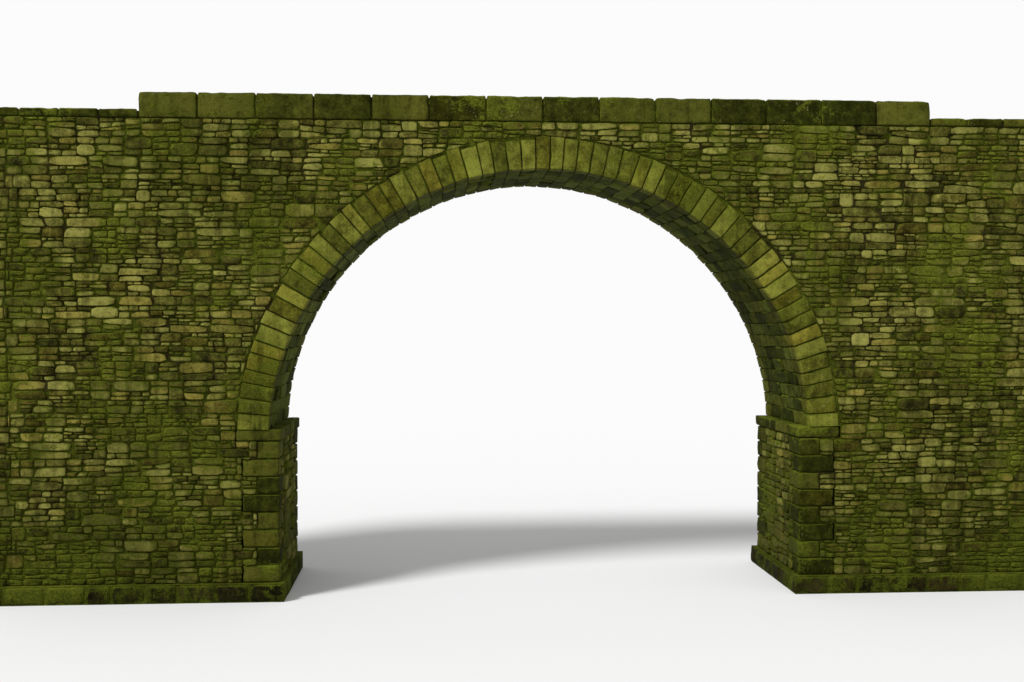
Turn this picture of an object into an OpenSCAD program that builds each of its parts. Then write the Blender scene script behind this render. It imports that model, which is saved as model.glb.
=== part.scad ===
// Stone arch bridge over a woodland stream.
// One round arch of dressed ring stones stands on two abutments. Rubble walls
// hold the fill beside and over it, and long stone slabs form a level parapet.
// X runs along the road, Y across it and Z is up. The origin is on the stream
// bed under the crown of the arch, midway across the bridge. Millimetres.

/* [Arch] */
// Radius of the arch's inner curve
arch_r = 5200; // [4300:50:6300]
// Height of the arch's centre above the stream bed
centre_h = 3000; // [2400:50:3800]
// Height of the springing line above the arch's centre
spring_rise = 250; // [100:10:400]
// Depth of the face ring, from the inner to the outer curve
ring_depth = 620; // [500:10:760]
// Width of a ring stone along the inner curve, before the ring is shared out
ring_stone_w = 256; // [200:4:320]
// Length of a ring stone into the bridge, from its face
ring_bed = 400; // [320:10:500]
// Open joint between two ring stones
ring_joint = 10; // [4:1:16]
// Thickness of the vault between the two face rings
barrel_t = 450; // [360:10:500]

/* [Abutments] */
// How far the water faces stand inside the widest line of the arch
ledge_w = 200; // [120:10:300]
// Length of an abutment along the road, behind its water face
abutment_l = 2600; // [1800:50:3400]
// Height of the impost slabs under the springing line
impost_h = 220; // [160:10:300]
// How far the impost slabs stand out from the water face
impost_out = 40; // [0:5:80]
// Number of impost slabs across each abutment
impost_count = 4; // [2:1:6]
// Height of a corner stone, before the corner is shared out
quoin_h = 335; // [260:5:450]
// Long side of a corner stone
quoin_long = 700; // [560:10:860]
// Short side of a corner stone
quoin_short = 420; // [320:10:520]
// Height of the footing under the walls
footing_h = 350; // [200:10:500]
// How far the footing stands out from the walls
footing_out = 120; // [60:5:200]

/* [Walls] */
// Width of the bridge over its walls
bridge_w = 3000; // [2400:50:3800]
// Thickness of the spandrel and approach walls
wall_t = 400; // [340:10:500]
// Length of the approach walls beyond each end of the parapet
approach_l = 2900; // [1200:50:3600]
// Open joint between two slabs, copings or corner stones
stone_joint = 8; // [3:1:14]

/* [Road] */
// Height of the road's edge above the crown of the ring
crown_cover = 60; // [20:5:160]
// Thickness of the road bed at its edges
road_t = 100; // [60:5:140]
// Rise of the road from its edges to its middle
camber = 40; // [10:5:80]

/* [Parapet] */
// Height of the wall between the road's edge and the parapet slabs
kerb_h = 220; // [120:10:320]
// Height of the parapet slabs
slab_h = 500; // [400:10:620]
// Thickness of the parapet slabs
slab_t = 320; // [260:10:400]
// Length of a parapet slab, before the parapet is shared out
slab_l = 1080; // [800:10:1400]
// Radius of the worn top edges of a parapet slab
slab_round = 60; // [20:5:110]
// Height of the coping stones on the approach walls
coping_h = 170; // [120:5:240]
// How far the coping stones overhang the approach walls
coping_out = 30; // [10:5:60]
// Length of a coping stone, before the wall is shared out
coping_l = 730; // [500:10:1200]
// Radius of the worn top edges of a coping stone
coping_round = 45; // [10:5:55]

/* [Hidden] */

// Facets of the large curves and of the small worn edges
curve_fn = 360;
edge_fn = 32;
// Overrun of a cut past the faces that it opens
over = 1;

// Heights above the stream bed
spring_z = centre_h + spring_rise;
impost_z = spring_z - impost_h;
ring_r = arch_r + ring_depth;
barrel_r = arch_r + barrel_t;
road_z = centre_h + ring_r + crown_cover;
fill_z = road_z - road_t;
wall_z = road_z + kerb_h;

// Distances from the middle of the span
jamb_x = arch_r - ledge_w;
ring_foot_x = sqrt(ring_r * ring_r - spring_rise * spring_rise);
parapet_x = jamb_x + abutment_l;
end_x = parapet_x + approach_l;

// Distances from the middle of the road
face_y = bridge_w / 2;
inner_y = face_y - wall_t;
barrel_y = face_y - ring_bed;

// The ring is shared out evenly from springing to springing, and an odd
// number of stones leaves one keystone in the middle.
spring_a = asin(spring_rise / arch_r);
ring_arc = 180 - 2 * spring_a;
side_stones = round((ring_arc * PI / 180 * arch_r / ring_stone_w - 1) / 2);
stone_a = ring_arc / (2 * side_stones + 1);
joint_a = ring_joint / arch_r * 180 / PI;

// Corner stones, parapet slabs and coping stones are shared out evenly too.
quoin_count = round((impost_z - footing_h) / quoin_h);
quoin_step = (impost_z - footing_h) / quoin_count;
slab_count = round(parapet_x / slab_l);
coping_count = round(approach_l / coping_l);

// Colours of the stone, from the damp shade under the arch to the lit top
ring_colour = [0.50, 0.47, 0.33];
rubble_colour = [0.34, 0.34, 0.22];
damp_colour = [0.26, 0.28, 0.20];
slab_colour = [0.42, 0.43, 0.30];
earth_colour = [0.42, 0.37, 0.27];

// Draws its children on the right, or mirrored on the left
module on_side(side) {
    if (side == "left") mirror([1, 0, 0]) children();
    else children();
}

// Draws its children at the back, or mirrored at the front
module on_face(face) {
    if (face == "front") mirror([0, 1, 0]) children();
    else children();
}

// Extrudes an elevation, drawn in X and Z, from y1 to y2
module across(y1, y2) {
    translate([0, y2, 0]) rotate([90, 0, 0]) linear_extrude(height = y2 - y1) children();
}

// Block between two opposite corners
module block(low, high) {
    translate(low) cube(high - low);
}

// Part of a round arch between two angles, two radii and two distances
module arc_block(a1, a2, r1, r2, y1, y2) {
    translate([0, 0, centre_h]) rotate([90, 0, 0]) rotate([0, 0, a1])
        rotate_extrude(angle = a2 - a1, $fn = curve_fn)
            translate([r1, -y2]) square([r2 - r1, y2 - y1]);
}

// All that lies inside the vault and the face rings, which walls and fill meet
module vault_space() {
    across(-barrel_y, barrel_y) translate([0, centre_h]) circle(r = barrel_r, $fn = curve_fn);
    for (face = ["front", "back"])
        on_face(face) across(barrel_y, face_y + over)
            translate([0, centre_h]) circle(r = ring_r, $fn = curve_fn);
}

// Everything below the springing line, near the foot of the arch
module below_springing() {
    block([-ring_r - over, -face_y - over, centre_h - ring_depth],
          [ring_r + over, face_y + over, spring_z]);
}

// Ring stones on the right of the keystone. The first one, the springer, has
// a level bed on the impost. The others have beds that point at the centre.
module ring_side() {
    for (i = [0 : side_stones - 1]) {
        low_a = i == 0 ? 0 : spring_a + i * stone_a + joint_a / 2;
        high_a = spring_a + (i + 1) * stone_a - joint_a / 2;
        difference() {
            arc_block(low_a, high_a, arch_r, ring_r, barrel_y, face_y);
            if (i == 0) below_springing();
        }
    }
}

module keystone() {
    half_a = (stone_a - joint_a) / 2;
    arc_block(90 - half_a, 90 + half_a, arch_r, ring_r, barrel_y, face_y);
}

module ring(face, side) {
    color(ring_colour) on_face(face) on_side(side) ring_side();
}

module arch_barrel() {
    color(damp_colour) difference() {
        arc_block(0, 180, arch_r, barrel_r, -barrel_y, barrel_y);
        below_springing();
    }
}

module footing(side) {
    color(damp_colour) on_side(side)
        block([jamb_x - footing_out, -face_y - footing_out, 0],
              [end_x + footing_out, face_y + footing_out, footing_h]);
}

// Corner stones of one jamb, laid long and short in turn. Grown by a joint
// they are the seat that is cut for them.
module quoin_stack(joint) {
    for (i = [0 : quoin_count - 1]) {
        along = i % 2 == 0 ? quoin_long : quoin_short;
        inward = i % 2 == 0 ? quoin_short : quoin_long;
        low_z = footing_h + i * quoin_step;
        block([jamb_x, face_y - inward, low_z],
              [jamb_x + along, face_y, low_z + quoin_step - joint]);
    }
}

module quoins(face, side) {
    color(slab_colour) on_face(face) on_side(side) quoin_stack(stone_joint);
}

module abutment(side) {
    color(rubble_colour) on_side(side) difference() {
        block([jamb_x, -face_y, footing_h], [parapet_x, face_y, spring_z]);
        block([jamb_x - over, -face_y - over, impost_z],
              [ring_foot_x, face_y + over, spring_z + over]);
        quoin_stack(0);
        mirror([0, 1, 0]) quoin_stack(0);
    }
}

module impost(side) {
    step = bridge_w / impost_count;
    color(slab_colour) on_side(side)
        for (i = [0 : impost_count - 1])
            block([jamb_x - impost_out, -face_y + i * step + stone_joint / 2, impost_z],
                  [ring_foot_x, -face_y + (i + 1) * step - stone_joint / 2, spring_z]);
}

module spandrel(face, side) {
    color(rubble_colour) on_face(face) on_side(side) difference() {
        block([0, inner_y, spring_z], [parapet_x, face_y, wall_z]);
        vault_space();
    }
}

module approach_wall(face, side) {
    color(rubble_colour) on_face(face) on_side(side)
        block([parapet_x, inner_y, footing_h], [end_x, face_y, wall_z]);
}

// Rubble and earth between the walls, over the vault and behind the abutment
module fill(side) {
    color(earth_colour) on_side(side) difference() {
        block([0, -inner_y, footing_h], [end_x, inner_y, fill_z]);
        vault_space();
        block([-over, -face_y, 0], [parapet_x, face_y, spring_z]);
    }
}

// Road bed with a rounded top, higher in the middle than at its edges
module roadway() {
    bow_r = (inner_y * inner_y + camber * camber) / (2 * camber);
    color(earth_colour) difference() {
        translate([-end_x, 0, fill_z])
            rotate([90, 0, 90]) linear_extrude(height = 2 * end_x) intersection() {
                translate([-inner_y, 0]) square([2 * inner_y, road_t + camber]);
                translate([0, road_t + camber - bow_r]) circle(r = bow_r, $fn = curve_fn);
            }
        vault_space();
    }
}

// Cross-section of a stone that tops a wall, with worn upper edges
module worn_outline(width, height, edge_r) {
    square([width, height - edge_r]);
    translate([edge_r, 0]) square([width - 2 * edge_r, height]);
    for (x = [edge_r, width - edge_r])
        translate([x, height - edge_r]) circle(r = edge_r, $fn = edge_fn);
}

// Row of such stones along the road, from x1 to x2, with its inner side at y1
module stone_row(x1, x2, count, y1, width, height, edge_r) {
    step = (x2 - x1) / count;
    for (i = [0 : count - 1])
        translate([x1 + i * step + stone_joint / 2, y1, wall_z]) rotate([90, 0, 90])
            linear_extrude(height = step - stone_joint) worn_outline(width, height, edge_r);
}

module parapet(face, side) {
    color(slab_colour) on_face(face) on_side(side)
        stone_row(0, parapet_x, slab_count, face_y - slab_t, slab_t, slab_h, slab_round);
}

module coping(face, side) {
    color(slab_colour) on_face(face) on_side(side)
        stone_row(parapet_x, end_x, coping_count, inner_y - coping_out,
                  wall_t + 2 * coping_out, coping_h, coping_round);
}

footing("left");  // footing_left
footing("right");  // footing_right
abutment("left");  // abutment_left
abutment("right");  // abutment_right
quoins("front", "left");  // front_quoins_left
quoins("front", "right");  // front_quoins_right
quoins("back", "left");  // back_quoins_left
quoins("back", "right");  // back_quoins_right
impost("left");  // impost_left
impost("right");  // impost_right
arch_barrel();
ring("front", "left");  // front_ring_left
ring("front", "right");  // front_ring_right
color(ring_colour) on_face("front") keystone();  // front_keystone
ring("back", "left");  // back_ring_left
ring("back", "right");  // back_ring_right
color(ring_colour) keystone();  // back_keystone
spandrel("front", "left");  // front_spandrel_left
spandrel("front", "right");  // front_spandrel_right
spandrel("back", "left");  // back_spandrel_left
spandrel("back", "right");  // back_spandrel_right
approach_wall("front", "left");  // front_approach_wall_left
approach_wall("front", "right");  // front_approach_wall_right
approach_wall("back", "left");  // back_approach_wall_left
approach_wall("back", "right");  // back_approach_wall_right
fill("left");  // fill_left
fill("right");  // fill_right
roadway();
parapet("front", "left");  // front_parapet_left
parapet("front", "right");  // front_parapet_right
parapet("back", "left");  // back_parapet_left
parapet("back", "right");  // back_parapet_right
coping("front", "left");  // front_coping_left
coping("front", "right");  // front_coping_right
coping("back", "left");  // back_coping_left
coping("back", "right");  // back_coping_right
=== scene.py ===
import math

import bpy
import numpy as np
from mathutils import Euler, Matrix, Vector


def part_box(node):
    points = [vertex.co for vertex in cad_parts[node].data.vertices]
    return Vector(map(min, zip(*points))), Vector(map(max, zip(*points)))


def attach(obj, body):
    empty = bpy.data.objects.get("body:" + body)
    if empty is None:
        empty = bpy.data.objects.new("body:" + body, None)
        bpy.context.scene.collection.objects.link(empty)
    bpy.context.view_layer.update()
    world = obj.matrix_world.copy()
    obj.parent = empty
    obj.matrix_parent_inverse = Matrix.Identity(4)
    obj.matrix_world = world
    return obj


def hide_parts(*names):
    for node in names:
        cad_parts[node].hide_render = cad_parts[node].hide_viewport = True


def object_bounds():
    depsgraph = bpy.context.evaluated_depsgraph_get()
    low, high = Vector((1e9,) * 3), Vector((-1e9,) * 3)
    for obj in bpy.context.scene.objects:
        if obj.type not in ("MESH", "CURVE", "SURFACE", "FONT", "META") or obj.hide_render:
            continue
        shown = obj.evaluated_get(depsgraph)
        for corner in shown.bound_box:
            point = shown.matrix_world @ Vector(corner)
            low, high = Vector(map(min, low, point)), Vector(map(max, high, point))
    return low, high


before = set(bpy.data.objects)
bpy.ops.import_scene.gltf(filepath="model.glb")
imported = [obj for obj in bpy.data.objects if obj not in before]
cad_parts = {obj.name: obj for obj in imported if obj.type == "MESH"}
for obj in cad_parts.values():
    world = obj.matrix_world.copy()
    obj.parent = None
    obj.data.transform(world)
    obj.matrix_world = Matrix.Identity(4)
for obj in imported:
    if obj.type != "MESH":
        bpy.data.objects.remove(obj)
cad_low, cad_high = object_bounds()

# Where the camera stood, from the middle of the near face at the arch's
# centre, and where it looks, in degrees
CAMERA_OFFSET = (-2.055, -22.316, 2.253)
CAMERA_YAW = 3.743
CAMERA_PITCH = -0.856
FOCAL_PIXELS = 1170.1
IMAGE_WIDTH = 1024
SENSOR_WIDTH = 36.0
FARTHEST_SEEN = 500

# The floor's colour and reach, and how far away it turns into the backdrop.
# Then the backdrop's brightness, the sky's strength, and where the sun shines
# to and how wide it looks, in degrees. The sun's strength is worked out from
# them, so that the lit floor is as bright as the backdrop.
FLOOR = 0.82
FLOOR_REACH = 400.0
FADE = (16.0, 60.0)
BACKDROP = 0.97
SKY = 0.54
SUN_AIM = Vector((0.80, 0.62, -1.0))
SUN_WIDTH = 14
SUN = (BACKDROP / FLOOR - SKY) * math.pi / -SUN_AIM.normalized().z

# Mean height and length of a rubble stone, of one on the faces towards the
# water, and of one beside the road
RUBBLE_SIZE = np.array((0.125, 0.40))
WATER_FACE_SIZE = RUBBLE_SIZE * 1.5
KERB_SIZE = np.array((0.26, 0.42))
# Joint between two rubble stones, recess of the mortar behind the wall's
# face, and depth of a stone behind it
RUBBLE_JOINT = 0.013
MORTAR_RECESS = 0.034
STONE_BACK = 0.050
# Stones in the height of a course, and how far and how often its beds wave
COURSE_STONES = 2.3
BED_WAVE = 0.035
BED_WAVE_LENGTH = 2.4
# Smallest rubble stone that is laid, and the largest with a plain or a simple face, in square metres
SMALLEST_STONE = 0.0030
PLAIN_STONE = 0.014
SIMPLE_STONE = 0.050
# How far a rubble stone stands out of the wall: mean, spread and limits. Then
# the size of its round edge, its tilt, and how uneven its outline and face are
CREST = -0.002
CREST_SPREAD = 0.010
CREST_LIMITS = (-0.022, 0.018)
EDGE_SIZES = (0.007, 0.02)
STONE_TILT = 0.04
UNEVEN_OUTLINE = 0.0016
UNEVEN_FACE = 0.0045
# How far a rubble wall swells and hollows, and over what distance
BULGE = 0.008
BULGE_LENGTH = 1.6

# Worn blocks: largest size of a facet, most of a half side that a round edge
# takes, length of the skin's swells, share of the wear that is lost all over,
# how far a block leans and may reach past its low corner, and the sharpest
# angle that is shaded as round, in degrees
BLOCK_STEP = 0.075
EDGE_SHARE = 0.8
SKIN_SWELL = 0.16
SKIN_LOSS = 0.6
BLOCK_LEAN = 0.004
BLOCK_SLACK = 0.004
ROUND_ANGLE = 52
# Vault stones: half a joint between two of a course, the shortest, and how
# far they stay from the lower and the upper bed of their course
VAULT_JOINT = 0.006
VAULT_SHORTEST = 0.12
VAULT_BEDS = (0.002, 0.008)
# Rough corner stones of the plain ends: mean height, mean long and short side, and half a joint
CORNER_HEIGHT = 0.22
CORNER_LONG = 0.50
CORNER_SHORT = 0.25
CORNER_JOINT = 0.005
# Footing blocks: mean length, spread of the joints, depth, and half a joint
FOOTING_LENGTH = 0.62
FOOTING_SPREAD = 0.14
FOOTING_DEPTH = 0.42
FOOTING_JOINT = 0.008
# Road: points along and across it, rise of its edges over the fill, places, width and depth of the
# ruts, wear of the whole bed, and number, sizes and sides of the stones in it
ROAD_POINTS = (340, 38)
ROAD_EDGE_RISE = 0.1
RUTS = (-0.55, 0.55)
RUT_WIDTH = 0.16
RUT_DEPTH = 0.028
ROAD_WEAR = 0.020
ROAD_STONES = 1500
PEBBLE_SIZES = (0.022, 0.11)
PEBBLE_SIDES = 7

# Which way along x and y the sides and the faces of the bridge lie
SIDES = {"left": -1, "right": 1}
FACES = {"front": -1, "back": 1}


def lattice(cells, seed):
    """A repeatable random number from 0 to 1 for each whole-number place, made by mixing bits."""
    bits = 0x7FFFFFFF
    mixed = cells[..., 0] * 73856093 ^ cells[..., 1] * 19349663 ^ cells[..., 2] * 83492791
    mixed = (mixed ^ seed * 6542989) & bits
    mixed = (mixed ^ mixed >> 13) * 60493 & bits
    mixed = (mixed ^ mixed >> 11) * 19990303 & bits
    return (mixed ^ mixed >> 15) / bits


def noise(points, length, seed):
    """Smooth noise from -1 to 1 at points, with swells of about the given length."""
    scaled = np.asarray(points, float) / length
    low = np.floor(scaled).astype(np.int64)
    part = scaled - low
    part = part * part * (3 - 2 * part)
    total = 0.0
    for corner in np.ndindex(2, 2, 2):
        weight = np.prod(np.where(corner, part, 1 - part), axis=-1)
        total = total + weight * lattice(low + corner, seed)
    return total * 2 - 1


def rough(points, length, seed):
    """Noise with two finer octaves on top."""
    return (noise(points, length, seed) + 0.5 * noise(points, length / 2, seed + 1)
            + 0.25 * noise(points, length / 4, seed + 2)) / 1.75


def linked(name, data):
    """A new object of the scene."""
    thing = bpy.data.objects.new(name, data)
    bpy.context.scene.collection.objects.link(thing)
    return thing


class Masonry:
    """Points, faces and values of one piece, gathered stone by stone."""

    def __init__(self):
        self.points = []
        self.faces = []
        self.paints = []
        self.tones = []
        self.rims = []
        self.count = 0

    def add(self, points, faces, tone, rim, paint=0):
        """Adds a closed shape. tone is its own shade, rim is 1 at its edges and 0 on its face, and
        paint is the number of its material."""
        self.points.append(np.asarray(points, float))
        self.faces.extend([[i + self.count for i in face] for face in faces])
        self.paints.extend([paint] * len(faces))
        self.tones.append(np.full(len(points), tone))
        self.rims.append(np.broadcast_to(rim, len(points)))
        self.count += len(points)

    def add_mortar(self, points, faces):
        """Adds a closed shape of mortar."""
        self.add(points, faces, 0.5, 1.0, 1)

    def build(self, node, kind, slot, second="mortar"):
        """Makes the piece that stands for a CAD node, of its slot's material and a second one."""
        name = node + "_" + kind
        mesh = bpy.data.meshes.new(name)
        mesh.from_pydata(np.concatenate(self.points).tolist(), [], self.faces)
        mesh.polygons.foreach_set("material_index", self.paints)
        for label, values in (("tone", self.tones), ("rim", self.rims)):
            attribute = mesh.attributes.new(label, "FLOAT", "POINT")
            attribute.data.foreach_set("value", np.concatenate(values).astype(np.float32))
        mesh.materials.append(materials[slot])
        mesh.materials.append(materials[second])
        mesh.polygons.foreach_set("use_smooth", [True] * len(mesh.polygons))
        mesh.set_sharp_from_angle(angle=math.radians(ROUND_ANGLE))
        mesh.update()
        piece = linked(name, mesh)
        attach(piece, "root")
        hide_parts(node)


def vertices_of(node):
    """The points of a CAD node."""
    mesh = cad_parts[node].data
    points = np.zeros(len(mesh.vertices) * 3, np.float32)
    mesh.vertices.foreach_get("co", points)
    return points.reshape(-1, 3).astype(float)


def merged(points):
    """The index of one point at each place, and the number of each point's place."""
    tenths = np.round(points * 1e4).astype(np.int64)
    _, first, same = np.unique(tenths, axis=0, return_index=True, return_inverse=True)
    return first, same.ravel()


def solids_of(node):
    """The points of each separate solid in a CAD node."""
    points = vertices_of(node)
    _, same = merged(points)
    leader = list(range(same.max() + 1))

    def find(i):
        while leader[i] != i:
            leader[i] = leader[leader[i]]
            i = leader[i]
        return i

    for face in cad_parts[node].data.polygons:
        first, *others = (find(same[i]) for i in face.vertices)
        for other in others:
            leader[find(other)] = find(first)
    groups = {}
    for i, shared in enumerate(same):
        groups.setdefault(find(shared), []).append(i)
    return [points[members] for members in groups.values()]


# The arch, from the keystone and the springers of the near ring
keystone = vertices_of("front_keystone")
ring_low, ring_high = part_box("front_ring_right")
RING_TOP = keystone[:, 2].max()
SPRING_Z = ring_low.z
RING_FOOT = ring_high.x
CENTRE_Z = (RING_TOP ** 2 - SPRING_Z ** 2 - RING_FOOT ** 2) / (2 * (RING_TOP - SPRING_Z))
RING_R = RING_TOP - CENTRE_Z
ARCH_R = np.hypot(keystone[:, 0], keystone[:, 2] - CENTRE_Z).min()
FACE_Y = -ring_low.y

# The walls and the road, from their CAD boxes
impost_low, impost_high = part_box("impost_right")
wall_low, wall_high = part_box("front_approach_wall_right")
road_low, road_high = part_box("roadway")
FOOTING_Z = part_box("footing_right")[1].z
JAMB_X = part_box("abutment_right")[0].x
ROAD_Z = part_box("fill_right")[1].z
IMPOST_Z = impost_low.z
IMPOST_X = impost_high.x
PARAPET_X = wall_low.x
END_X = wall_high.x
INNER_Y = -wall_high.y
WALL_Z = wall_high.z


def picked(red, green, blue):
    """A colour in screen values, 0 to 255, as the linear colour that shaders take."""
    parts = []
    for value in (red, green, blue):
        share = value / 255
        parts.append(share / 12.92 if share <= 0.04045 else ((share + 0.055) / 1.055) ** 2.4)
    return (*parts, 1.0)


def shades(*colours):
    """Colours in screen values, from dark to light."""
    return [picked(*colour) for colour in colours]


# Tints, by which a colour is multiplied
WHITE = (1.0, 1.0, 1.0, 1.0)
SOOT = (0.30, 0.30, 0.28, 1.0)
CRUST = (0.42, 0.42, 0.40, 1.0)
RUSTY = (1.0, 0.70, 0.40, 1.0)
GREYED = (0.80, 0.83, 0.80, 1.0)
ALGAE = (0.60, 0.76, 0.34, 1.0)
# Tint for moist stone, also used to darken it with painted shade
WET_AND_SHADE = (0.40, 0.41, 0.37, 1.0)
# Colours of what grows on stone, and of stone, earth and mortar
LICHEN = picked(150, 150, 97)
MOSS_DARK = picked(38, 44, 9)
MOSS = picked(78, 86, 21)
MOSS_FRESH = picked(108, 116, 34)
RING = shades((58, 60, 18), (90, 92, 30), (116, 118, 40), (152, 153, 65))
RUBBLE = shades((47, 47, 18), (87, 85, 34), (122, 120, 51), (161, 157, 82))
DAMP = shades((27, 26, 12), (44, 42, 18), (61, 58, 25), (82, 77, 38))
# The vault's colours are its mossy stone made lighter and greener, as painted green light thrown up from
# below
VAULT_AND_BOUNCE_LIGHT = shades((36, 41, 12), (57, 63, 20), (78, 85, 28), (102, 108, 44))
SLAB = shades((36, 38, 9), (54, 57, 14), (74, 77, 21), (103, 103, 40))
EARTH = shades((47, 40, 21), (78, 68, 36), (108, 95, 53), (138, 123, 76))
EARTH_STONE = shades((66, 61, 36), (98, 91, 55), (125, 117, 74), (159, 151, 104))
BED = shades((32, 30, 15), (53, 49, 23), (74, 68, 34))
# Height below which stone grows moist and takes painted shade, where painted
# shade darkens it behind the long faces, depth of its bumps, and its faint shine
DAMP_AND_SHADE_Z = CENTRE_Z + 2.6
PAINTED_SHADE_BEHIND_FACES = (FACE_Y - 0.02, FACE_Y - 0.20)
BUMP_DEPTH = 0.014
SHINE = 0.02


class Shader:
    """A node tree, with short ways to add nodes and to fill or link their inputs."""

    def __init__(self, tree):
        self.tree = tree
        tree.nodes.clear()

    def put(self, socket, value):
        """Links an input to another node's output, or writes a value in it."""
        if isinstance(value, bpy.types.NodeSocket):
            self.tree.links.new(value, socket)
        elif value is not None:
            socket.default_value = value

    def add(self, kind, settings=None, numbered=(), **named):
        """A new node with its settings, and its inputs by number and by name."""
        node = self.tree.nodes.new(kind)
        for label, value in (settings or {}).items():
            setattr(node, label, value)
        for number, value in enumerate(numbered):
            self.put(node.inputs[number], value)
        for label, value in named.items():
            self.put(node.inputs[label.replace("_", " ")], value)
        return node

    def maths(self, operation, a, b=None, clamp=False):
        """The result of one operation, kept from 0 to 1 if clamp is on."""
        return self.add("ShaderNodeMath", {"operation": operation, "use_clamp": clamp}, (a, b)).outputs[0]

    def times(self, a, b):
        """A product."""
        return self.maths("MULTIPLY", a, b)

    def total(self, *terms):
        """The sum of (value, weight) pairs and plain values."""
        result = None
        for term in terms:
            part = self.times(*term) if isinstance(term, tuple) else term
            result = part if result is None else self.maths("ADD", result, part)
        return result

    def between(self, value, start, end):
        """A smooth step from 0 to 1 as a value goes from start to end."""
        return self.add("ShaderNodeMapRange", {"interpolation_type": "SMOOTHSTEP"},
                        Value=value, From_Min=start, From_Max=end).outputs["Result"]

    def blend(self, share, under, over, kind="MIX"):
        """A share of one colour over another. A Mix node takes colours at its inputs 6 and 7, and
        gives one at its output 2."""
        node = self.add("ShaderNodeMix", {"data_type": "RGBA", "blend_type": kind}, Factor=share)
        self.put(node.inputs[6], under)
        self.put(node.inputs[7], over)
        return node.outputs[2]

    def tinted(self, share, colour, tint):
        """A colour of which a share is multiplied by a tint."""
        return self.blend(share, colour, tint, "MULTIPLY")

    def seen(self):
        """1 for what the camera sees, also in a mirror or through glass, and 0 for light."""
        path = self.add("ShaderNodeLightPath")
        direct = self.maths("MAXIMUM", path.outputs["Is Camera Ray"], path.outputs["Is Glossy Ray"])
        return self.maths("MAXIMUM", direct, path.outputs["Is Transmission Ray"])


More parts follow.
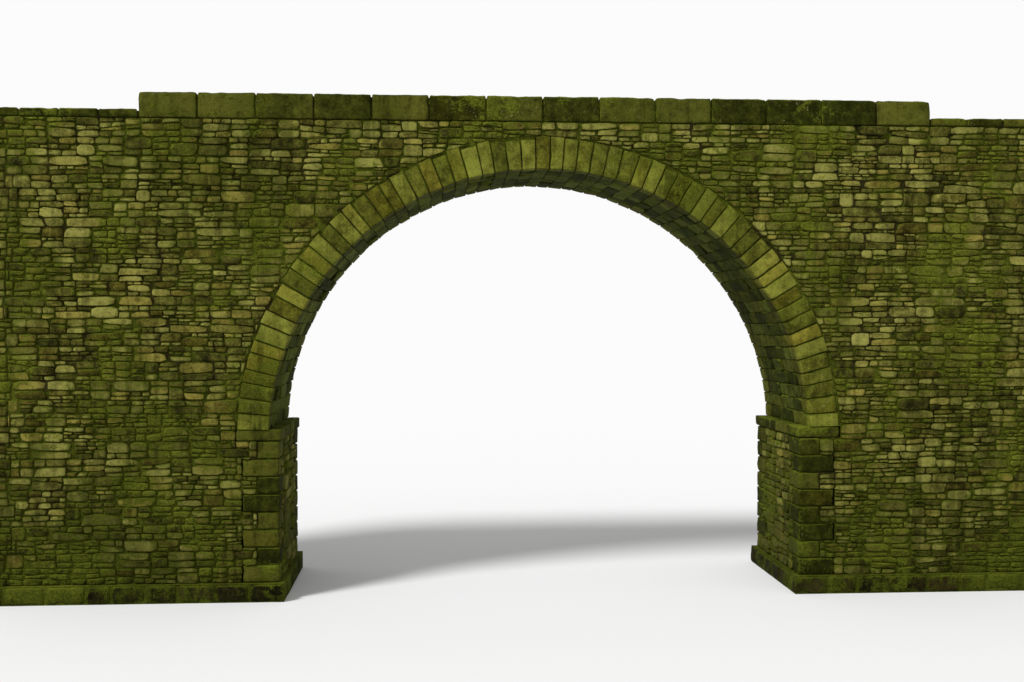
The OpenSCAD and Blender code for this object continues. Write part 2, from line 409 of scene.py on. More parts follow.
class Stone(Shader):
    """The node tree of weathered stone: its patterns, and the layers painted with them."""

    def __init__(self, tree):
        super().__init__(tree)
        geometry = self.add("ShaderNodeNewGeometry")
        self.position = geometry.outputs["Position"]
        place = self.add("ShaderNodeSeparateXYZ", Vector=self.position)
        self.sideways = place.outputs["Y"]
        # Low down the stone is moist and also takes painted shade
        self.low = self.between(place.outputs["Z"], DAMP_AND_SHADE_Z, 0.0)
        self.upward = self.add("ShaderNodeSeparateXYZ", Vector=geometry.outputs["Normal"]).outputs["Z"]
        self.tone = self.add("ShaderNodeAttribute", {"attribute_name": "tone"}).outputs["Fac"]
        self.rim = self.add("ShaderNodeAttribute", {"attribute_name": "rim"}).outputs["Fac"]
        # A second random value of each stone, from the digits of its tone
        self.kind = self.maths("FRACT", self.times(self.tone, 7.31))
        self.grit = self.swirl(95.0, 3.0, 0.7)
        self.fine = self.swirl(30.0, 6.0, 0.7)
        self.middling = self.swirl(7.0, 5.0)
        self.broad = self.swirl(1.0)
        self.wide = self.swirl(0.3, 3.0, 0.5)

    def swirl(self, scale, detail=4.0, roughness=0.6, stretch=None):
        """Noise about 0.5, with about scale swirls in a metre, or that times stretch on each axis."""
        place = self.position
        if stretch:
            place = self.add("ShaderNodeVectorMath", {"operation": "MULTIPLY"}, (place, stretch)).outputs[0]
        return self.add("ShaderNodeTexNoise", Scale=scale, Detail=detail, Roughness=roughness,
                        Vector=place).outputs["Fac"]

    def own_colour(self, colours, spread):
        """The stone's own colours. The last term puts the mean of the sum at the ramp's middle."""
        shade = self.total((self.tone, spread), self.middling, (self.wide, 0.5), (self.fine, 0.9),
                           0.5 - spread / 2 - 1.2)
        ramp = self.add("ShaderNodeValToRGB", Fac=shade)
        stops = ramp.color_ramp.elements
        for i, colour in enumerate(colours):
            stop = stops[i] if i < 2 else stops.new(0.5)
            stop.position = 0.14 + 0.72 * i / (len(colours) - 1)
            stop.color = colour
        return ramp.outputs["Color"]

    def mineral(self, colour, rust):
        """Some stones rusty and some greyed, and grit on all of them."""
        rusty = self.between(self.total(self.kind, (self.broad, 0.8)), 0.95, 1.35)
        colour = self.tinted(self.times(rusty, rust), colour, RUSTY)
        grey = self.between(self.total(self.kind, (self.broad, 0.5)), 0.5, 0.3)
        colour = self.tinted(self.times(grey, 0.5), colour, GREYED)
        return self.tinted(0.45, colour, self.blend(self.between(self.grit, 0.3, 0.7), SOOT, WHITE))

    def grown(self, colour, algae, lichen):
        """A film of algae, a dark crust and spots of lichen."""
        film = self.total((self.wide, 0.5), (self.broad, 0.7), (self.middling, 0.5), (self.fine, 0.5))
        colour = self.tinted(self.times(self.between(film, 1.00, 1.30), algae), colour, ALGAE)
        crust = self.between(self.total(self.swirl(3.6, 6.0, 0.72), (self.rim, 0.06)), 0.54, 0.66)
        colour = self.tinted(self.times(crust, 0.6), colour, CRUST)
        spots = self.times(self.between(self.swirl(19.0, 3.0, 0.75), 0.60, 0.68),
                           self.between(self.broad, 0.42, 0.6))
        return self.blend(self.times(spots, lichen), colour, LICHEN)

    def wetness_and_shade(self, damp_and_shade, painted_shade_behind_faces):
        """How moist the stone is, with painted shade in the same share: moist and with painted shade low
        down, moist in runs and stains, and painted shade underneath and behind the faces.
        """
        runs = self.between(self.swirl(1.0, 4.0, 0.6, (4.2, 4.2, 0.30)), 0.50, 0.60)
        stain = self.between(self.total(self.wide, (self.broad, 0.35)), 0.70, 0.82)
        # Painted shade: faces that look downwards are darkened
        under = self.between(self.upward, -0.1, -0.8)
        wet_and_shade = self.total((self.low, 0.7), (runs, 0.75), (stain, 0.8), (under, 0.8))
        wet_and_shade = self.maths("MULTIPLY", wet_and_shade, damp_and_shade, True)
        if painted_shade_behind_faces:
            # Painted shade on stone behind the long faces, inside the arch
            inside = self.between(self.maths("ABSOLUTE", self.sideways), *PAINTED_SHADE_BEHIND_FACES)
            wet_and_shade = self.maths("ADD", wet_and_shade, self.times(inside, 0.5), True)
        return wet_and_shade

    def mossiness(self, moss):
        """Where moss grows: in patches, and rather at edges, on top and low down."""
        patch = self.total((self.broad, 1.7), (self.middling, 0.85), (self.fine, 0.55), (self.rim, 0.22),
                           (self.between(self.upward, 0.1, 0.8), 0.42), (self.low, 0.10), moss)
        return self.between(patch, 1.68, 1.90)

    def mossed(self, colour, green, wet_and_shade):
        """Moss, fresh at its tips and darker where it is moist and where shade is painted."""
        fresh = self.between(self.total((self.grit, 0.5), (self.fine, 0.6), (self.upward, 0.12)), 0.38, 0.72)
        tips = self.blend(self.between(self.broad, 0.45, 0.65), MOSS, MOSS_FRESH)
        colour = self.blend(self.times(green, 0.9), colour, self.blend(fresh, MOSS_DARK, tips))
        return self.tinted(self.times(self.times(green, wet_and_shade), 0.55), colour, WET_AND_SHADE)


def stone_material(name, colours, spread=0.6, moss=0.0, damp_and_shade=0.5, lichen=0.3, rust=0.3, bump=0.7,
                   painted_shade_behind_faces=False, algae=0.6):
    """Weathered stone. spread is how far the stones differ, and moss, moisture, lichen, rust and algae say
    how much of each it carries; the moisture share also scales painted shade low down and underneath.
    A switch paints shade on stone behind the bridge's long faces."""
    material = bpy.data.materials.new(name)
    material.use_nodes = True
    stone = Stone(material.node_tree)
    wet_and_shade = stone.wetness_and_shade(damp_and_shade, painted_shade_behind_faces)
    green = stone.mossiness(moss)
    colour = stone.mineral(stone.own_colour(colours, spread), rust)
    colour = stone.grown(colour, algae, lichen)
    # Darkened where moist, and by painted shade in the same share
    colour = stone.tinted(wet_and_shade, colour, WET_AND_SHADE)
    colour = stone.mossed(colour, green, wet_and_shade)
    relief = stone.total((stone.fine, 0.55), (stone.middling, 0.5), (stone.grit, 0.12),
                         (stone.times(green, stone.grit), 0.5), (green, 0.35))
    normal = stone.add("ShaderNodeBump", Height=relief, Strength=bump, Distance=BUMP_DEPTH).outputs["Normal"]
    roughness = stone.total((wet_and_shade, -0.16), (green, 0.06), 0.92)
    surface = stone.add("ShaderNodeBsdfPrincipled", Base_Color=colour, Normal=normal,
                        Roughness=roughness, Specular_IOR_Level=SHINE)
    stone.add("ShaderNodeOutputMaterial", Surface=surface.outputs[0])
    return material


# The look of each slot, and of the mortar and the stones in the road
LOOKS = {
    # The ring stones take painted shade behind the long faces
    "ring_stone": dict(colours=RING, spread=0.36, damp_and_shade=0.6, lichen=0.4, rust=0.45, painted_shade_behind_faces=True),
    "vault_stone": dict(colours=VAULT_AND_BOUNCE_LIGHT, spread=0.5, moss=-0.20, damp_and_shade=0.3, lichen=0.15),
    "rubble_stone": dict(colours=RUBBLE, spread=0.50, moss=0.08, damp_and_shade=0.7, rust=0.4, algae=0.5),
    "footing_stone": dict(colours=DAMP, spread=0.4, moss=0.12, damp_and_shade=0.9, lichen=0.05),
    "corner_stone": dict(colours=SLAB, spread=0.5, moss=0.02),
    "slab_stone": dict(colours=SLAB, spread=0.4, moss=0.06, lichen=0.4),
    "fill_rubble": dict(colours=EARTH, moss=-0.15, damp_and_shade=0.6, lichen=0.1),
    "road_gravel": dict(colours=EARTH, spread=0.5, moss=-0.45, damp_and_shade=0.3, lichen=0.2, bump=1.0),
    "road_stone": dict(colours=EARTH_STONE, moss=-0.50, damp_and_shade=0.2),
    "mortar": dict(colours=BED, spread=0.4, moss=0.12, lichen=0.0, bump=1.0),
}
materials = {name: stone_material(name, **look) for name, look in LOOKS.items()}


def bands(count, rings):
    """The faces between rings of points, each with the same count of points."""
    return [[low + i, low + (i + 1) % count, low + count + (i + 1) % count, low + count + i]
            for low in range(0, (rings - 1) * count, count) for i in range(count)]


def worn_grid(half, radius, step):
    """Grid places along one axis of a block: its ends, the starts of its round edges, and between."""
    inner = half - min(radius, half * EDGE_SHARE)
    count = max(1, round(2 * inner / step))
    return np.concatenate(([-half], np.linspace(-inner, inner, count + 1), [half]))


def box_skin(grids):
    """The sides of a box that is cut at grid places along each axis: its points and faces."""
    index = {}
    points = []
    faces = []

    def corner(place):
        if place not in index:
            index[place] = len(points)
            points.append([grid[i] for grid, i in zip(grids, place)])
        return index[place]

    last = [len(grid) - 1 for grid in grids]
    for axis in range(3):
        u, v = (axis + 1) % 3, (axis + 2) % 3
        for end in (0, last[axis]):
            for a, b in np.ndindex(last[u], last[v]):
                loop = []
                for da, db in ((0, 0), (1, 0), (1, 1), (0, 1)):
                    place = [0, 0, 0]
                    place[axis], place[u], place[v] = end, a + da, b + db
                    loop.append(corner(tuple(place)))
                faces.append(loop if end else loop[::-1])
    return np.array(points), faces


def worn_block(halves, radius, wear, seed, step=BLOCK_STEP):
    """A block with round edges and an uneven skin: its points, faces, and rim values."""
    halves = np.asarray(halves, float)
    points, faces = box_skin([worn_grid(half, radius, step) for half in halves])
    edge = np.minimum(radius, halves * EDGE_SHARE)
    inner = np.clip(points, -(halves - edge), halves - edge)
    out = (points - inner) / edge
    rim = np.where((np.abs(out) > 0.5).sum(axis=1) > 1, 1.0, 0.0)
    out = out / np.linalg.norm(out, axis=1)[:, None]
    points = inner + out * edge
    own_place = seed * np.array((3.7, 1.3, 2.1))
    skin = wear * rough(points + own_place, SKIN_SWELL, seed) - wear * SKIN_LOSS
    return points + out * skin[:, None], faces, rim


def knocked(points, halves, rng, count, size, depth):
    """Points of a block with dents knocked into places along its edges."""
    for _ in range(count):
        corner = rng.choice((-1.0, 1.0), 3)
        corner[rng.integers(3)] *= rng.uniform(0, 0.95)
        away = np.linalg.norm(points - corner * halves, axis=1)
        pull = depth * rng.uniform(0.4, 1.0) * np.clip(1.3 - away / size, 0, 1)
        points = points - pull[:, None] * corner / np.linalg.norm(corner)
    return points


def turned(points, rng, spread):
    """Points turned by small random angles."""
    turn = Euler([rng.normal(0, spread) for _ in range(3)]).to_matrix()
    return points @ np.array(turn).T


def lay_block(masonry, low, high, rng, radius, wear, step=BLOCK_STEP):
    """Lays a worn block in the box between two corners."""
    low, high = np.asarray(low, float), np.asarray(high, float)
    halves = (high - low) / 2
    seed = int(rng.integers(1, 9999))
    points, faces, rim = worn_block(halves, radius, wear, seed, step)
    points = knocked(points, halves, rng, count=4, size=2.0 * radius + 0.03, depth=0.7 * radius)
    points = turned(points, rng, BLOCK_LEAN) + (low + high) / 2
    points = np.clip(points, np.maximum(low - BLOCK_SLACK, cad_low), high)
    masonry.add(points, faces, rng.random(), rim)


def packing_box(node, inset):
    """The box of the mortar between a CAD node's blocks, drawn in from its ends, sides and top. At
    the middle of the bridge it meets the other half's."""
    low, high = (np.array(corner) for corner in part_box(node))
    at_middle = np.abs((low[0], high[0])) < inset[0]
    low += (inset[0], inset[1], 0)
    high -= inset
    if at_middle[0]:
        low[0] = 0
    if at_middle[1]:
        high[0] = 0
    return low, high


def block_piece(node, slot, radius, wear, seed, packing, step=BLOCK_STEP):
    """Replaces each solid of a CAD node with a worn block of its size. packing is how far the
    mortar between them is drawn in on each axis."""
    rng = np.random.default_rng(seed)
    masonry = Masonry()
    for solid in solids_of(node):
        lay_block(masonry, solid.min(axis=0), solid.max(axis=0), rng, radius, wear, step)
    low, high = packing_box(node, packing)
    points, faces, _ = worn_block((high - low) / 2, radius=0.01, wear=0.004, seed=seed, step=0.2)
    masonry.add_mortar(points + (low + high) / 2, faces)
    masonry.build(node, "stones", slot)


def clip(outline, nu, nv, reach):
    """The part of a convex outline where nu * u + nv * v is at most reach."""
    kept = []
    if len(outline) < 3:
        return kept
    for (au, av), (bu, bv) in zip([outline[-1]] + outline[:-1], outline):
        before = nu * au + nv * av - reach
        after = nu * bu + nv * bv - reach
        if (before <= 0) != (after <= 0):
            share = before / (before - after)
            kept.append((au + share * (bu - au), av + share * (bv - av)))
        if after <= 0:
            kept.append((bu, bv))
    return kept


def area_of(outline):
    """Area of an outline."""
    return 0.5 * sum(au * bv - bu * av for (au, av), (bu, bv)
                     in zip(outline, outline[1:] + outline[:1]))


def worth_laying(outline):
    """Whether an outline is large enough for a stone."""
    return len(outline) > 2 and area_of(outline) > SMALLEST_STONE


def bed_levels(rng, low, high, mean):
    """Heights of the main beds of a wall, from its foot to its top."""
    steps = []
    while sum(steps) < high - low:
        steps.append(mean * rng.uniform(0.7, 1.35))
    return low + np.concatenate(([0], np.cumsum(steps))) * (high - low) / sum(steps)


def course_blocks(rng, region, height, length):
    """Four-sided blocks that fill a region in wavy courses."""
    u0, v0, u1, v1 = region
    levels = bed_levels(rng, v0, v1, COURSE_STONES * height)
    blocks = []

    def bed(u, level):
        wave = noise(np.array((u, 31 * level, 0.0)), BED_WAVE_LENGTH, seed=11)
        return level + BED_WAVE * wave * (v0 < level < v1)

    for low, high in zip(levels, levels[1:]):
        cuts = [u0]
        while cuts[-1] < u1 - 0.4 * length:
            cuts.append(cuts[-1] + length * rng.uniform(0.6, 2.2))
        cuts[-1] = u1
        for a, b in zip(cuts, cuts[1:]):
            blocks.append([(a, bed(a, low)), (b, bed(b, low)), (b, bed(b, high)), (a, bed(a, high))])
    return blocks


def split(outline, rng, upright):
    """Cuts an outline in two, upright or level, along a line that leans a little."""
    low, high = np.min(outline, axis=0), np.max(outline, axis=0)
    u, v = low + (high - low) * (rng.uniform(0.34, 0.66) if upright else 0.5,
                                 0.5 if upright else rng.uniform(0.3, 0.7))
    lean = rng.normal(0, 0.14 if upright else 0.04)
    nu, nv = (math.cos(lean), math.sin(lean)) if upright else (math.sin(lean), math.cos(lean))
    reach = nu * u + nv * v
    return clip(outline, nu, nv, reach), clip(outline, -nu, -nv, -reach)


def dressed(outline, rng):
    """An outline drawn in from its joints, with some of its corners knocked off."""
    drawn = outline
    for (au, av), (bu, bv) in zip(outline, outline[1:] + outline[:1]):
        size = math.hypot(bu - au, bv - av)
        if size > 1e-6 and drawn:
            nu, nv = (bv - av) / size, (au - bu) / size
            drawn = clip(drawn, nu, nv, nu * au + nv * av - RUBBLE_JOINT * rng.uniform(0.25, 0.9))
    if len(drawn) < 3:
        return []
    mu, mv = np.mean(drawn, axis=0)
    for u, v in list(drawn):
        size = math.hypot(u - mu, v - mv)
        if rng.random() < 0.6 and drawn:
            nu, nv = (u - mu) / size, (v - mv) / size
            drawn = clip(drawn, nu, nv, nu * u + nv * v - size * rng.uniform(0.04, 0.2))
    return drawn


def parts_beside(outline, box):
    """The parts of an outline to the left, to the right, below and above a box."""
    u0, v0, u1, v1 = box
    (low_u, low_v), (high_u, high_v) = np.min(outline, axis=0), np.max(outline, axis=0)
    if high_u <= u0 or low_u >= u1 or high_v <= v0 or low_v >= v1:
        return [outline]
    middle = clip(clip(outline, -1, 0, -u0), 1, 0, u1)
    parts = [clip(outline, 1, 0, u0), clip(outline, -1, 0, -u1), clip(middle, 0, 1, v0),
             clip(middle, 0, -1, -v1)]
    return [part for part in parts if worth_laying(part)]


def outside_circle(outline, circle):
    """Cuts an outline back to the tangent of a circle, if it lies above the circle's middle."""
    cu, cv, radius = circle
    mu, mv = np.mean(outline, axis=0)
    if mv < cv:
        return outline
    size = math.hypot(mu - cu, mv - cv)
    nu, nv = (cu - mu) / size, (cv - mv) / size
    return clip(outline, nu, nv, nu * cu + nv * cv - radius)


def rubble_outlines(rng, region, size, boxes, circle):
    """Outlines of the stones that fill a region around boxes and outside a circle."""
    height, length = size
    blocks = course_blocks(rng, region, height, length)
    outlines = []
    while blocks:
        outline = blocks.pop()
        low, high = np.min(outline, axis=0), np.max(outline, axis=0)
        long, tall = high - low
        level = tall > height * rng.uniform(1.05, 2.3) and long < length * 2.6
        if level or long > tall * rng.uniform(2.6, 5.6):
            blocks.extend(part for part in split(outline, rng, not level) if worth_laying(part))
            continue
        parts = [outline]
        for box in boxes:
            if box[0] < high[0] and box[1] < high[1] and box[2] > low[0] and box[3] > low[1]:
                parts = [part for whole in parts for part in parts_beside(whole, box)]
        for part in parts:
            if circle:
                part = outside_circle(part, circle)
            part = dressed(part, rng)
            if worth_laying(part):
                outlines.append(part)
    return outlines


def relief_stone(outline, rng, crest, edge, rounding=0.2):
    """One stone of a wall, as points (u, v, out of the wall), faces and rim values. Its levels are
    rings of points, from its back to near its middle."""
    ring = np.array(outline)
    turn = (np.roll(ring, -1, axis=0) - ring) * rounding
    ring = np.stack((ring + turn, np.roll(ring, -1, axis=0) - turn), axis=1).reshape(-1, 2)
    ring = ring + rng.normal(0, UNEVEN_OUTLINE, ring.shape)
    middle = ring.mean(axis=0)
    spoke = ring - middle
    reach = np.linalg.norm(spoke, axis=1)
    count = len(ring)
    edge = min(edge, 0.3 * reach.min())
    slope = spoke @ rng.normal(0, STONE_TILT, 2)
    uneven = rng.normal(0, UNEVEN_FACE, (3, count))
    levels = [
        (ring, np.full(count, -STONE_BACK), 1.0),
        (ring, crest + slope - edge * 0.9 + uneven[0] * 0.5, 0.9),
        (middle + spoke * (1 - edge / reach)[:, None], crest + slope + uneven[0], 0.3),
    ]
    if area_of(outline) > SIMPLE_STONE:
        levels.append((middle + spoke * 0.72, crest + slope * 0.72 + uneven[1] + 0.002, 0.0))
    if area_of(outline) > PLAIN_STONE:
        levels.append((middle + spoke * 0.42, crest + slope * 0.42 + uneven[2] + 0.003, 0.0))
    points = [np.column_stack((flat, high)) for flat, high, _ in levels]
    points.append(np.array([[*middle, crest + 0.003]]))
    rim = np.concatenate([np.full(count, value) for _, _, value in levels] + [[0.0]])
    faces = bands(count, len(levels))
    top = (len(levels) - 1) * count
    faces.extend([top + i, top + (i + 1) % count, len(levels) * count] for i in range(count))
    faces.append(list(range(count))[::-1])
    return np.concatenate(points), faces, rim


def core(masonry, node, change):
    """Adds a CAD node's mesh, drawn in by change, as the mortar that shows between the stones."""
    points = vertices_of(node)
    first, same = merged(points)
    faces = [[int(same[i]) for i in face.vertices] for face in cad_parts[node].data.polygons]
    faces = [face for face in faces if len(set(face)) == len(face)]
    masonry.add_mortar(change(points[first]), faces)


def drawn_in(node, sides):
    """A change that draws in sides of a CAD node's box, such as "-y", by the mortar's recess."""
    low, high = (np.array(corner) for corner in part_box(node))
    new_low, new_high = low.copy(), high.copy()
    for sign, axis in sides:
        if sign == "-":
            new_low["xyz".index(axis)] += MORTAR_RECESS
        else:
            new_high["xyz".index(axis)] -= MORTAR_RECESS

    def change(points):
        return new_low + (points - low) / (high - low) * (new_high - new_low)
    return change


def on_arch(radius, angle, y, lowest=-math.inf):
    """Points at radii and angles round the arch's centre, and none below the lowest level."""
    z = np.maximum(CENTRE_Z + radius * np.sin(angle), lowest)
    return np.column_stack((radius * np.cos(angle), y, z))


def polar(solid):
    """Lowest and highest angle and y of a ring stone."""
    angles = np.arctan2(solid[:, 2] - CENTRE_Z, solid[:, 0])
    return angles.min(), angles.max(), solid[:, 1].min(), solid[:, 1].max()


def arc_strip(masonry, first, last, inner, outer, low_y, high_y):
    """Adds a strip of mortar that fills the joints of a ring from one angle to another."""
    count = max(2, round((last - first) * outer / 0.3))
    angles = np.linspace(first, last, count + 1)
    corners = ((inner, low_y), (outer, low_y), (outer, high_y), (inner, high_y))
    radii, turns, ys = np.array([(radius, angle, y) for angle in angles for radius, y in corners]).T
    faces = bands(4, count + 1)
    faces += [[3, 2, 1, 0], [4 * count + k for k in range(4)]]
    masonry.add_mortar(on_arch(radii, turns, ys), faces)


def ring_piece(node, seed):
    """Replaces the wedges of a ring with worn stones, and fills their joints. Each joint is a
    little off its place, and each stone has its own tail, twist and place across the ring."""
    rng = np.random.default_rng(seed)
    masonry = Masonry()
    spans = sorted(polar(solid) for solid in solids_of(node))
    outside = -1 if spans[0][2] < 0 else 1
    shifts = rng.normal(0, 0.016 / ARCH_R, len(spans) + 1)
    shifts[[0, -1]] = 0
    for number, (low, high, low_y, high_y) in enumerate(spans):
        low, high = low + shifts[number], high + shifts[number + 1]
        tail = rng.uniform(-0.055, 0.02)
        radial = (RING_R + tail - ARCH_R) / 2
        half = (high - low) * ARCH_R / 2
        halves = np.array((half, (high_y - low_y) / 2, radial))
        skin_seed = int(rng.integers(1, 9999))
        points, faces, rim = worn_block(halves, radius=0.018, wear=0.008, seed=skin_seed)
        points = knocked(points, halves, rng, count=5, size=0.09, depth=0.020)
        proud = outside * rng.uniform(0.0, 0.016)
        lift = rng.uniform(-0.003, 0.008)
        twist = rng.normal(0, 0.006)
        angle = (low + high) / 2 - points[:, 0] / half * (high - low) / 2
        radius = ARCH_R + radial + points[:, 2] + lift
        y = points[:, 1] + (low_y + high_y) / 2 + proud + twist * points[:, 2]
        masonry.add(on_arch(radius, angle, y, SPRING_Z - 0.002), faces, rng.random(), rim)
    first, last, low_y, high_y = (pick(values) for pick, values in zip((min, max, min, max), zip(*spans)))
    if outside < 0:
        low_y += MORTAR_RECESS
    else:
        high_y -= MORTAR_RECESS
    arc_strip(masonry, first, last, ARCH_R + 0.03, RING_R, low_y, high_y)
    masonry.build(node, "stones", "ring_stone")


def vault_core(points):
    """The vault's CAD mesh with its underside drawn in by the mortar's recess."""
    radius = np.hypot(points[:, 0], points[:, 2] - CENTRE_Z)
    outer = radius.max()
    moved = radius + MORTAR_RECESS * (outer - radius) / (outer - ARCH_R)
    middle = np.array((0, 0, CENTRE_Z))
    spoke = (points - middle) * (1, 0, 1)
    drawn = middle + spoke * (moved / radius)[:, None] + points * (0, 1, 0)
    drawn[:, 2] = np.maximum(drawn[:, 2], SPRING_Z)
    return drawn


def vault_piece(seed):
    """The underside of the vault: courses of long stones that break joint, from ring to ring."""
    rng = np.random.default_rng(seed)
    masonry = Masonry()
    core(masonry, "arch_barrel", vault_core)
    low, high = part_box("arch_barrel")
    beds = sorted(polar(solid)[0] for node in ("front_ring_right", "front_keystone", "front_ring_left")
                  for solid in solids_of(node))
    beds.append(math.pi - beds[0])
    for start, stop in zip(beds, beds[1:]):
        y = low.y - 0.3 * rng.random()
        u0, u1 = start * ARCH_R + VAULT_BEDS[0], stop * ARCH_R - VAULT_BEDS[1]
        while y < high.y:
            long = rng.uniform(0.38, 0.95)
            y0, y1 = max(y, low.y) + VAULT_JOINT, min(y + long, high.y) - VAULT_JOINT
            y += long
            if y1 - y0 < VAULT_SHORTEST:
                continue
            corners = np.array(((u0, y0), (u1, y0), (u1, y1), (u0, y1)))
            outline = [tuple(corner) for corner in corners + rng.normal(0, 0.006, (4, 2))]
            crest = rng.uniform(-0.010, 0.006)
            wall, faces, rim = relief_stone(outline, rng, crest, edge=0.014, rounding=0.09)
            points = on_arch(ARCH_R - wall[:, 2], wall[:, 0] / ARCH_R, wall[:, 1], SPRING_Z)
            masonry.add(points, faces, rng.random(), rim)
    masonry.build("arch_barrel", "stones", "vault_stone")


def wall_cores():
    """A masonry for each CAD node that rubble faces, with its core of mortar in it."""
    cores = {}

    def begin(node, *sides):
        cores[node] = Masonry()
        core(cores[node], node, drawn_in(node, sides))

    for side in SIDES:
        out, inward = ("-x", "+x") if side == "left" else ("+x", "-x")
        begin("abutment_" + side, "-y", "+y", inward)
        begin("fill_" + side, out)
        for face, outward in (("front", "-y"), ("back", "+y")):
            begin(face + "_spandrel_" + side, outward)
            begin(face + "_approach_wall_" + side, outward, out)
    return cores


def wall_at(x, z, face):
    """The wall of a long face to which a stone belongs."""
    side = "right" if x > 0 else "left"
    if abs(x) > PARAPET_X:
        return face + "_approach_wall_" + side
    return face + "_spandrel_" + side if z > SPRING_Z else "abutment_" + side


def flat_place(origin, along, outward):
    """Turns wall places (u, v, out) into points on an upright wall that swells a little."""
    origin, along, outward = (np.array(part, float) for part in (origin, along, outward))
    up = np.array((0.0, 0.0, 1.0))

    def place(wall):
        flat = origin + wall[:, :1] * along + wall[:, 1:2] * up
        swell = BULGE * noise(flat, BULGE_LENGTH, seed=5)
        return flat + (wall[:, 2] + swell)[:, None] * outward
    return place


def on_wall(solid, along):
    """The box of a solid's points on a wall whose u runs along a direction."""
    u, v = solid @ along, solid[:, 2]
    return u.min(), v.min(), u.max(), v.max()


def lay_rubble(seed, region, size, boxes, place, owner, circle=None):
    """Lays rubble of a size in a region of a wall, around boxes and outside a circle. owner names
    the piece to which a stone belongs, and place turns wall places into points."""
    rng = np.random.default_rng(seed)
    for outline in rubble_outlines(rng, region, size, boxes, circle):
        crest = np.clip(rng.normal(CREST, CREST_SPREAD), *CREST_LIMITS)
        points, faces, rim = relief_stone(outline, rng, crest, rng.uniform(*EDGE_SIZES))
        middle = np.mean(outline, axis=0)
        walls[owner(*middle)].add(place(points), faces, rng.random(), rim)


def end_corner(face, side, seed):
    """Lays rough stones, long and short in turn, where a long face meets the plain end. Returns
    the lowest and highest corner of each."""
    rng = np.random.default_rng(seed)
    out = np.array((SIDES[side], FACES[face], 1))
    corner = out * (END_X, FACE_Y, 0)
    stones = []
    levels = bed_levels(rng, FOOTING_Z, WALL_Z, CORNER_HEIGHT)
    for number, (low_z, high_z) in enumerate(zip(levels, levels[1:])):
        spans = [CORNER_LONG * rng.uniform(0.8, 1.3), CORNER_SHORT * rng.uniform(0.85, 1.2)]
        along, across = spans if number % 2 else spans[::-1]
        across = min(across, FACE_Y - INNER_Y - 0.01)
        proud = (rng.uniform(0, 0.014), rng.uniform(0, 0.014), 0)
        inside = corner - out * (along, across, 0) + (0, 0, low_z + CORNER_JOINT)
        outside = corner + out * proud + (0, 0, high_z - CORNER_JOINT)
        low, high = np.minimum(inside, outside), np.maximum(inside, outside)
        lay_block(walls[face + "_approach_wall_" + side], low, high, rng, radius=0.034, wear=0.012,
                  step=0.13)
        stones.append(np.array((low, high)))
    return stones


def long_face(face, seed):
    """Rubble over a whole long face, around the ring, the impost slabs and the corner stones. Its
    u runs to the right as seen from outside."""
    out = FACES[face]
    along = (-out, 0, 0)
    boxes = [(-JAMB_X, 0, JAMB_X, SPRING_Z), (JAMB_X, IMPOST_Z, IMPOST_X, SPRING_Z),
             (-IMPOST_X, IMPOST_Z, -JAMB_X, SPRING_Z)]
    for side in SIDES:
        boxes.extend(on_wall(solid, along)
                     for solid in solids_of(face + "_quoins_" + side) + end_stones[face, side])
    place = flat_place((0, out * FACE_Y, 0), along, (0, out, 0))
    lay_rubble(seed, (-END_X, FOOTING_Z, END_X, WALL_Z), RUBBLE_SIZE, boxes, place,
               lambda u, v: wall_at(-out * u, v, face), circle=(0, CENTRE_Z, RING_R))


def end_face(side, seed):
    """The plain end of the approach: two wall ends, with the fill between them."""
    out = SIDES[side]
    along = (0, out, 0)
    boxes = [(-INNER_Y, ROAD_Z, INNER_Y, WALL_Z + 1)]
    boxes += [on_wall(stone, along) for face in FACES for stone in end_stones[face, side]]
    place = flat_place((out * END_X, 0, 0), along, (out, 0, 0))

    def owner(u, v):
        if abs(u) < INNER_Y:
            return "fill_" + side
        return ("front" if out * u < 0 else "back") + "_approach_wall_" + side
    lay_rubble(seed, (-FACE_Y, FOOTING_Z, FACE_Y, WALL_Z), RUBBLE_SIZE, boxes, place, owner)


def water_face(side, seed):
    """The face of an abutment towards the stream, between its corner stones."""
    out = SIDES[side]
    along = (0, -out, 0)
    boxes = [on_wall(solid, along) for face in FACES for solid in solids_of(face + "_quoins_" + side)]
    place = flat_place((out * JAMB_X, 0, 0), along, (-out, 0, 0))
    lay_rubble(seed, (-FACE_Y, FOOTING_Z, FACE_Y, IMPOST_Z), WATER_FACE_SIZE, boxes, place,
               lambda u, v: "abutment_" + side)


def kerb_face(face, seed):
    """The low inner face of a wall, beside the road."""
    out = FACES[face]
    place = flat_place((0, out * (INNER_Y - 0.02), 0), (out, 0, 0), (0, -out, 0))
    lay_rubble(seed, (-END_X, ROAD_Z + 0.08, END_X, WALL_Z - 0.004), KERB_SIZE, (), place,
               lambda u, v: wall_at(out * u, WALL_Z, face))


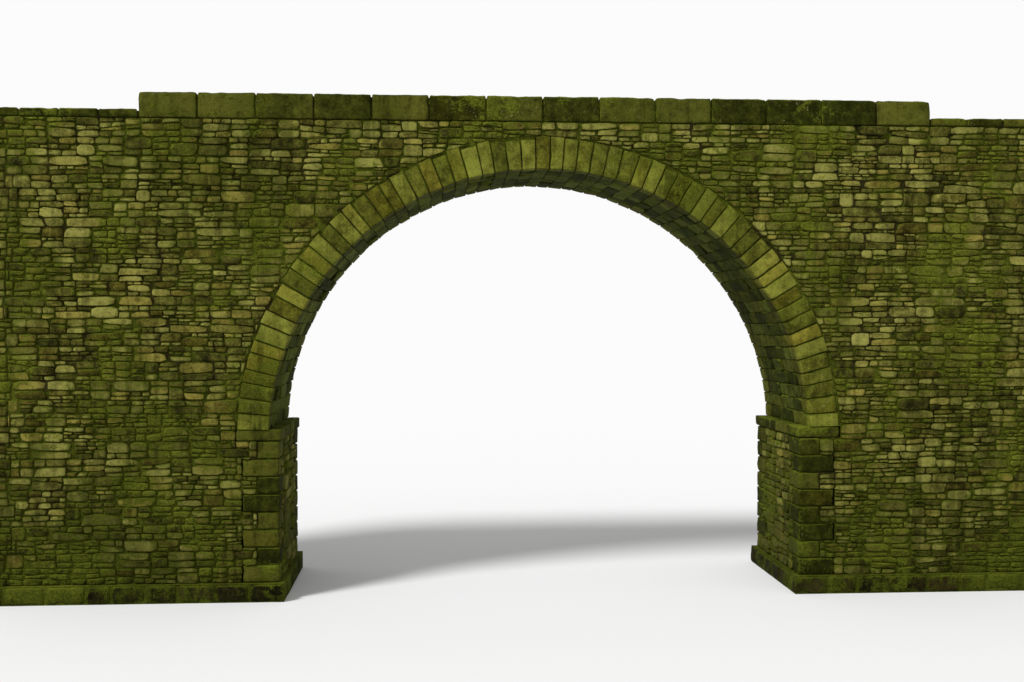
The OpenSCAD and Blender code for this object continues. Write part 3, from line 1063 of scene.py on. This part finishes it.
def footing_piece(side, seed):
    """The footing: rough blocks laid round a core."""
    rng = np.random.default_rng(seed)
    node = "footing_" + side
    low, high = (np.array(corner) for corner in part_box(node))
    masonry = Masonry()
    core(masonry, node, drawn_in(node, ("-x", "+x", "-y", "+y")))
    for axis, across, inset in ((0, 1, 0), (1, 0, FOOTING_DEPTH)):
        start, stop = low[axis] + inset, high[axis] - inset
        count = max(2, round((stop - start) / FOOTING_LENGTH))
        for end in (0, 1):
            cuts = np.linspace(start, stop, count + 1)
            cuts[1:-1] += rng.uniform(-FOOTING_SPREAD, FOOTING_SPREAD, count - 1)
            for a, b in zip(cuts, cuts[1:]):
                block_low, block_high = low.copy(), high.copy()
                block_low[axis], block_high[axis] = a + FOOTING_JOINT, b - FOOTING_JOINT
                if end:
                    block_low[across] = high[across] - FOOTING_DEPTH
                else:
                    block_high[across] = low[across] + FOOTING_DEPTH
                lay_block(masonry, block_low, block_high, rng, radius=0.05, wear=0.022)
    masonry.build(node, "stones", "footing_stone")


def pebble(rng, size):
    """A stone set in the road, as three rings of points: its points and faces."""
    count = PEBBLE_SIDES
    angles = np.linspace(0, 2 * math.pi, count, endpoint=False) + rng.random()
    reach = rng.uniform(0.75, 1.15, count)
    rings = [np.column_stack((share * reach * np.cos(angles), share * reach * np.sin(angles),
                              high + rng.normal(0, 0.04, count)))
             for share, high in ((1.0, -0.5), (0.92, 0.12), (0.62, 0.34))]
    faces = bands(count, len(rings))
    faces += [list(range(count))[::-1], list(range(2 * count, 3 * count))]
    return np.concatenate(rings) * size * (1, rng.uniform(0.6, 0.9), 0.2 + 0.004 / size), faces


def road_surface(x, y):
    """Height of the cambered, rutted and lumpy bed at places of the road."""
    edge_z = ROAD_Z + ROAD_EDGE_RISE
    camber = (road_high.z - edge_z) * (1 - (y / road_high.y) ** 2)
    rut = sum(np.exp(-((y - middle) / RUT_WIDTH) ** 2) for middle in RUTS)
    flat = np.stack((x, y, np.zeros_like(x)), axis=-1)
    lump = 0.016 * rough(flat, 0.35, seed=7) + 0.012 * noise(flat, 1.7, seed=9)
    worn = RUT_DEPTH * rut * (1 + 0.4 * noise(flat, 1.1, seed=8))
    return edge_z + camber - ROAD_WEAR - worn + lump


def road_piece(seed):
    """The road bed: a skin of gravel on a flat foot, with stones in it."""
    rng = np.random.default_rng(seed)
    masonry = Masonry()
    low, high = road_low, road_high
    rows, columns = ROAD_POINTS
    grid_x, grid_y = np.meshgrid(np.linspace(low.x, high.x, rows), np.linspace(low.y, high.y, columns),
                                 indexing="ij")
    top = np.stack((grid_x, grid_y, road_surface(grid_x, grid_y)), axis=-1).reshape(-1, 3)
    faces = [[i * columns + j, (i + 1) * columns + j, (i + 1) * columns + j + 1, i * columns + j + 1]
             for i in range(rows - 1) for j in range(columns - 1)]
    index = np.arange(rows * columns).reshape(rows, columns)
    border = np.concatenate((index[:, 0], index[-1, 1:], index[-2::-1, -1], index[0, -2:0:-1])).tolist()
    foot = top[border] * (1, 1, 0) + (0, 0, low.z)
    first = len(top)
    count = len(border)
    faces += [[border[(i + 1) % count], border[i], first + i, first + (i + 1) % count]
              for i in range(count)]
    faces.append([first + i for i in range(count)][::-1])
    masonry.add(np.concatenate((top, foot)), faces, 0.5, 0.0)
    least, most = PEBBLE_SIZES
    for _ in range(ROAD_STONES):
        x, y = rng.uniform(low.x + 0.15, high.x - 0.15), rng.uniform(low.y + 0.12, high.y - 0.12)
        points, stone_faces = pebble(rng, min(most, least / rng.random() ** 0.6))
        points = turned(points, rng, 0.12) + (x, y, float(road_surface(np.array(x), np.array(y))))
        masonry.add(points, stone_faces, rng.random(), 0.0, 1)
    masonry.build("roadway", "gravel", "road_gravel", "road_stone")


# The arch: its rings and its vault
rings = [face + part for face in FACES for part in ("_ring_left", "_ring_right", "_keystone")]
for number, node in enumerate(rings):
    ring_piece(node, seed=100 + number)
vault_piece(seed=200)

# The walls: their corners first, then rubble around them
walls = wall_cores()
corners = [(face, side) for face in FACES for side in SIDES]
end_stones = {corner: end_corner(*corner, seed=340 + number) for number, corner in enumerate(corners)}
for number, face in enumerate(FACES):
    long_face(face, seed=300 + number)
for number, side in enumerate(SIDES):
    end_face(side, seed=310 + number)
    water_face(side, seed=320 + number)
for number, face in enumerate(FACES):
    kerb_face(face, seed=330 + number)
for node, masonry in walls.items():
    masonry.build(node, "masonry", "fill_rubble" if node.startswith("fill") else "rubble_stone")

# The footings, the slabs, and the road
for number, side in enumerate(SIDES):
    footing_piece(side, seed=400 + number)
    block_piece("impost_" + side, "corner_stone", radius=0.030, wear=0.012, seed=410 + number,
                packing=(0.05, 0.05, 0.02))
    for face, own in (("front", number), ("back", 10 + number)):
        block_piece(face + "_quoins_" + side, "corner_stone", radius=0.030, wear=0.013,
                    seed=420 + own, packing=(0.04, 0.04, 0.0))
        for kind, first, down in (("_parapet_", 460, 0.05), ("_coping_", 500, 0.03)):
            block_piece(face + kind + side, "slab_stone", radius=0.036, wear=0.014, seed=first + own,
                        packing=(0.04, 0.05, down), step=0.055)
road_piece(seed=500)


def floor():
    """A pale floor that takes shadows and turns into the backdrop far away."""
    mesh = bpy.data.meshes.new("floor")
    far = FLOOR_REACH
    mesh.from_pydata([(-far, -far, 0), (far, -far, 0), (far, far, 0), (-far, far, 0)], [], [[0, 1, 2, 3]])
    plane = linked("floor", mesh)
    material = bpy.data.materials.new("floor")
    material.use_nodes = True
    paint = Shader(material.node_tree)
    position = paint.add("ShaderNodeNewGeometry").outputs["Position"]
    distance = paint.add("ShaderNodeVectorMath", {"operation": "LENGTH"}, (position,)).outputs["Value"]
    share = paint.times(paint.between(distance, *FADE), paint.seen())
    pale = paint.add("ShaderNodeBsdfDiffuse", Color=(FLOOR, FLOOR, FLOOR, 1)).outputs[0]
    white = paint.add("ShaderNodeEmission", Color=WHITE, Strength=BACKDROP).outputs[0]
    surface = paint.add("ShaderNodeMixShader", None, (share, pale, white)).outputs[0]
    paint.add("ShaderNodeOutputMaterial", Surface=surface)
    mesh.materials.append(material)


def sky():
    """Soft light from all round, and the pale backdrop that the camera sees there."""
    world = bpy.data.worlds.new("studio")
    bpy.context.scene.world = world
    world.use_nodes = True
    paint = Shader(world.node_tree)
    strength = paint.add("ShaderNodeMapRange", Value=paint.seen(), To_Min=SKY, To_Max=BACKDROP)
    glow = paint.add("ShaderNodeBackground", Color=WHITE, Strength=strength.outputs["Result"])
    paint.add("ShaderNodeOutputWorld", Surface=glow.outputs[0])


def sun():
    """One broad soft light from the upper left of the near face."""
    lamp = bpy.data.lights.new("key", "SUN")
    lamp.energy = SUN
    lamp.angle = math.radians(SUN_WIDTH)
    light = linked("key", lamp)
    light.rotation_euler = SUN_AIM.to_track_quat("-Z", "Y").to_euler()


def camera():
    """The camera, where the photograph was taken from."""
    eye = linked("camera", bpy.data.cameras.new("camera"))
    eye.data.sensor_width = SENSOR_WIDTH
    eye.data.lens = FOCAL_PIXELS / IMAGE_WIDTH * SENSOR_WIDTH
    eye.data.clip_end = FARTHEST_SEEN
    eye.location = Vector((0, -FACE_Y, CENTRE_Z)) + Vector(CAMERA_OFFSET)
    eye.rotation_euler = (math.radians(90 + CAMERA_PITCH), 0, math.radians(-CAMERA_YAW))
    bpy.context.scene.camera = eye


floor()
sky()
sun()
camera()
bpy.context.scene.view_settings.view_transform = "Standard"
